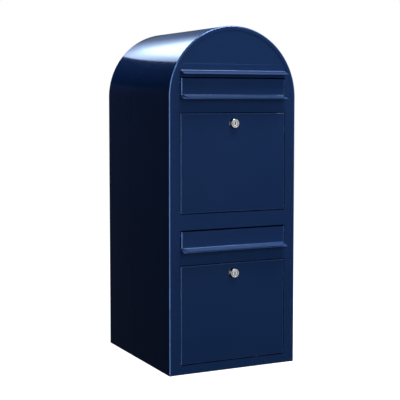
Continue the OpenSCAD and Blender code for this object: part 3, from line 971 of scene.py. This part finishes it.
@dataclass
class Lock:
    """A cam lock: bezel and threaded barrel on the door, and a plug that turns in them."""

    shop: Workshop
    level: Level
    plug_radius: float = 8.6 * MM
    barrel_radius: float = 9.5 * MM
    thread_pitch: float = 1.25 * MM
    keyway_half: float = 1.3 * MM
    keyway_rise: float = 3.6 * MM

    def build(self) -> None:
        """Builds the housing and the plug."""
        self.housing()
        self.plug()

    def housing(self) -> None:
        """The domed bezel, its rim round the plug, and the threaded barrel behind the door."""
        node = self.level.node("lock_housing")
        low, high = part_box(node)
        centre = Vector((0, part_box(self.level.node("door_panel"))[0].y, (low.z + high.z) / 2))
        outer = high.x
        height = centre.y - low.y
        end = high.y - centre.y
        bore = self.plug_radius + 0.05 * MM
        crest = outer - 3.2 * MM
        profile = [(bore, -height + 2.6 * MM), (bore, -height + 0.5 * MM)]
        profile += arc((bore + 0.5 * MM, -height + 0.5 * MM), 0.5 * MM, 180, 270, 4)
        profile += [(crest - 1.2 * MM, -height)]
        profile += arc((crest - 1.2 * MM, -height + 2.4 * MM), 2.4 * MM, 270, 325, 6)
        profile += [(outer - 0.5 * MM, -2.2 * MM), (outer, -1.6 * MM), (outer, 0)]
        profile += [(self.barrel_radius, 0)]
        turns = int(end / self.thread_pitch)
        for i in range(turns):
            start = i * self.thread_pitch
            profile += [(self.barrel_radius, start + 0.1 * self.thread_pitch)]
            profile += [(self.barrel_radius - 0.6 * MM, start + 0.6 * self.thread_pitch)]
        profile += [(self.barrel_radius - 0.7 * MM, end), (6.55 * MM, end), (6.55 * MM, -height + 2.6 * MM)]
        profile += [profile[0]]
        bm = turned(profile, centre)
        self.shop.place(bm, f"{self.level.value}_lock_bezel", Slot.CHROME, f"{self.level.value}_door", [node],
                        edge=0.0)

    def plug(self) -> None:
        """The plug, with an upright keyway in its face."""
        node = self.level.node("lock_plug")
        low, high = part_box(node)
        centre = Vector((0, low.y, (low.z + high.z) / 2))
        depth = high.y - low.y
        steps = 64
        bm = bmesh.new()
        rings = []
        for radius, y in ((self.plug_radius - 1.8 * MM, 0), (self.plug_radius, 0.9 * MM),
                          (self.plug_radius, 2.2 * MM),
                          (6.5 * MM, 2.2 * MM), (6.5 * MM, depth - 3 * MM), (4 * MM, depth - 3 * MM),
                          (4 * MM, depth)):
            rings.append(self.ring(bm, centre, y, [(radius * math.cos(a), radius * math.sin(a))
                                                   for a in self.angles(steps)]))
        mouth = [self.keyway_point(a, 0.35 * MM) for a in self.angles(steps)]
        throat = [self.keyway_point(a, 0.0) for a in self.angles(steps)]
        keyway = [self.ring(bm, centre, 0, mouth), self.ring(bm, centre, 0.35 * MM, throat),
                  self.ring(bm, centre, 14 * MM, throat)]
        chain = keyway[::-1] + rings
        for first, second in zip(chain, chain[1:]):
            bmesh.ops.bridge_loops(bm, edges=first + second)
        bmesh.ops.contextual_create(bm, geom=keyway[-1])
        bmesh.ops.contextual_create(bm, geom=rings[-1])
        self.shop.place(bm, f"{self.level.value}_key_plug", Slot.CHROME, f"{self.level.value}_lock", [node],
                        edge=0.0)

    @staticmethod
    def angles(steps: int) -> list[float]:
        """Evenly spaced angles round a turn."""
        return [math.tau * i / steps for i in range(steps)]

    def keyway_point(self, angle: float, grow: float) -> Point:
        """A point of the keyway's outline: two half rounds joined by straight sides."""
        half = self.keyway_half + grow
        across, up = math.cos(angle), math.sin(angle)
        return half * across, half * up + math.copysign(self.keyway_rise, up) * min(1.0, 4 * abs(up))

    @staticmethod
    def ring(
        bm: bmesh.types.BMesh, centre: Vector, y: float, outline: Sequence[Point]
    ) -> list[bmesh.types.BMEdge]:
        """Adds a closed ring of edges at a depth behind the centre."""
        verts = [bm.verts.new((centre.x + x, centre.y + y, centre.z + z)) for x, z in outline]
        return [bm.edges.new(pair) for pair in zip(verts, verts[1:] + verts[:1])]


# ---------------------------------------------------------------- the studio


@dataclass
class Studio:
    """White floor and surroundings, soft lights and the camera."""

    eye: Colour = (-1.3020, -2.6760, 0.7288)
    yaw: float = math.radians(26.036)
    pitch: float = math.radians(4.191)
    lens: float = 93.57
    shift: float = -0.06
    panel_depth: float = 1.7

    def build(self) -> None:
        """Sets up the camera, the floor, the surroundings and the lights."""
        scene = bpy.context.scene
        scene.view_settings.view_transform = "Standard"
        self.camera(scene)
        self.floor()
        self.surroundings(scene)
        self.graded_panel()
        self.lights()

    def camera(self, scene: bpy.types.Scene) -> None:
        """Looks slightly down at the front from the left."""
        data = bpy.data.cameras.new("camera")
        data.lens = self.lens
        data.sensor_width = 36.0
        data.shift_y = self.shift
        camera = bpy.data.objects.new("camera", data)
        camera.location = self.eye
        camera.rotation_euler = (math.pi / 2 - self.pitch, 0, -self.yaw)
        scene.collection.objects.link(camera)
        scene.camera = camera

    def floor(self) -> None:
        """A wide white floor, which shiny parts don't mirror."""
        bm = bmesh.new()
        bmesh.ops.create_grid(bm, x_segments=1, y_segments=1, size=30.0)
        mesh = bpy.data.meshes.new("floor")
        bm.to_mesh(mesh)
        bm.free()
        floor = bpy.data.objects.new("floor", mesh)
        mesh.materials.append(StudioFloor().material())
        bpy.context.collection.objects.link(floor)
        floor.visible_glossy = False
        floor.visible_diffuse = False
        floor.visible_shadow = False

    def surroundings(self, scene: bpy.types.Scene) -> None:
        """White surroundings that light the object only a little."""
        world = bpy.data.worlds.new("white")
        world.use_nodes = True
        world.node_tree.nodes["Background"].inputs["Color"].default_value = (1.0, 1.0, 1.0, 1.0)
        world.cycles_visibility.glossy = False
        world.cycles_visibility.diffuse = False
        scene.world = world

    def graded_panel(self) -> None:
        """The diffuser behind the barrel top."""
        bm = bmesh.new()
        bmesh.ops.create_grid(bm, x_segments=1, y_segments=1, size=1.0)
        bmesh.ops.scale(bm, verts=bm.verts, vec=(1.7, 0.9, 1.0))
        bmesh.ops.rotate(bm, verts=bm.verts, matrix=Matrix.Rotation(math.pi / 2, 3, "X"))
        bmesh.ops.translate(bm, verts=bm.verts, vec=(0.0, self.panel_depth, 1.9))
        mesh = bpy.data.meshes.new("graded_panel")
        bm.to_mesh(mesh)
        bm.free()
        panel = bpy.data.objects.new("graded_panel", mesh)
        mesh.materials.append(GradedPanel().material())
        bpy.context.collection.objects.link(panel)
        panel.visible_camera = False
        panel.visible_shadow = False

    def lights(self) -> None:
        """Soft boxes over the front and the top, and strips that only the gloss mirrors."""
        aim = (0.0, 0.0, 0.55)
        daylight = (0.62, 0.76, 1.0)
        sky = (0.42, 0.60, 1.0)
        self.soft_box("front_box", (0.6, -2.6, 1.5), aim, (2.2, 1.4), 1.5, glossy=False)
        self.soft_box("low_box", (0.2, -2.6, 0.25), aim, (2.0, 0.8), 2.0, glossy=False)
        self.soft_box("top_box", (0.4, -0.62, 2.6), (0.0, -0.2, 0.8), (1.6, 0.9), 8.5)
        self.soft_box("left_box", (-1.6, -2.4, 0.9), aim, (1.0, 1.6), 0.6, glossy=False)
        self.soft_box("left_strip", (-2.0, -1.2, 0.8), aim, (0.8, 3.2), 6.0, daylight, diffuse=False)
        self.soft_box("right_panel", (2.2, 1.3, 0.8), aim, (2.2, 3.2), 1.5, sky, diffuse=False)
        self.soft_box("room_wall", (-2.5, 4.0, 1.5), aim, (6.0, 9.0), 0.024, daylight, diffuse=False)

    def soft_box(
        self,
        name: str,
        place: Colour,
        aim: Colour,
        size: Point,
        glow: float,
        colour: Colour = (1.0, 1.0, 1.0),
        glossy: bool = True,
        diffuse: bool = True,
    ) -> bpy.types.Object:
        """Adds a rectangular light that the camera doesn't see.

        Args:
            name: The light's name.
            place: Where it stands.
            aim: What it points at.
            size: Its width and height in metres.
            glow: Its brightness, in watts per square metre and steradian.
            colour: Its colour.
            glossy: Whether gloss mirrors it.
            diffuse: Whether it lights surfaces.

        Returns:
            The light.
        """
        data = bpy.data.lights.new(name, "AREA")
        data.shape = "RECTANGLE"
        data.size, data.size_y = size
        data.energy = glow * math.pi * size[0] * size[1]
        data.color = colour
        light = bpy.data.objects.new(name, data)
        light.location = place
        light.rotation_euler = (Vector(aim) - Vector(place)).to_track_quat("-Z", "Y").to_euler()
        light.visible_camera = False
        light.visible_glossy = glossy
        light.visible_diffuse = diffuse
        bpy.context.collection.objects.link(light)
        return light

    def light_metal(self, pieces: Sequence[bpy.types.Object]) -> None:
        """Gives plated pieces boxes to mirror that the paint does not, and hides the left strip from them."""
        box = self.soft_box(
            "plating_box", (1.3, -2.6, 0.4), (0.0, -0.2, 0.4), (2.8, 4.0), 0.8, diffuse=False
        )
        side = self.soft_box(
            "plating_side", (-2.2, -0.9, 0.7), (0.0, -0.2, 0.5), (1.6, 4.0), 0.4, diffuse=False
        )
        shown = bpy.data.collections.new("plated")
        for piece in pieces:
            shown.objects.link(piece)
        for light in (box, side):
            light.light_linking.receiver_collection = shown
        left_out = bpy.data.collections.new("hidden_from_left_strip")
        for piece in pieces:
            left_out.objects.link(piece)
        for item in left_out.collection_objects:
            item.light_linking.link_state = "EXCLUDE"
        bpy.data.objects["left_strip"].light_linking.receiver_collection = left_out


def main() -> None:
    """Builds the studio and the mailbox's pieces round the frame."""
    logging.basicConfig(level=logging.INFO, format="%(message)s")
    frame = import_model()
    studio = Studio()
    studio.build()
    shop = Workshop(frame["record"], frame["nodes"])
    Cabinet(shop).build()
    for level in Level:
        MailSlot(shop, level).build()
        Door(shop, level).build()
    shop.refine_rest()
    studio.light_metal(shop.plated)


if __name__ == "__main__":
    main()
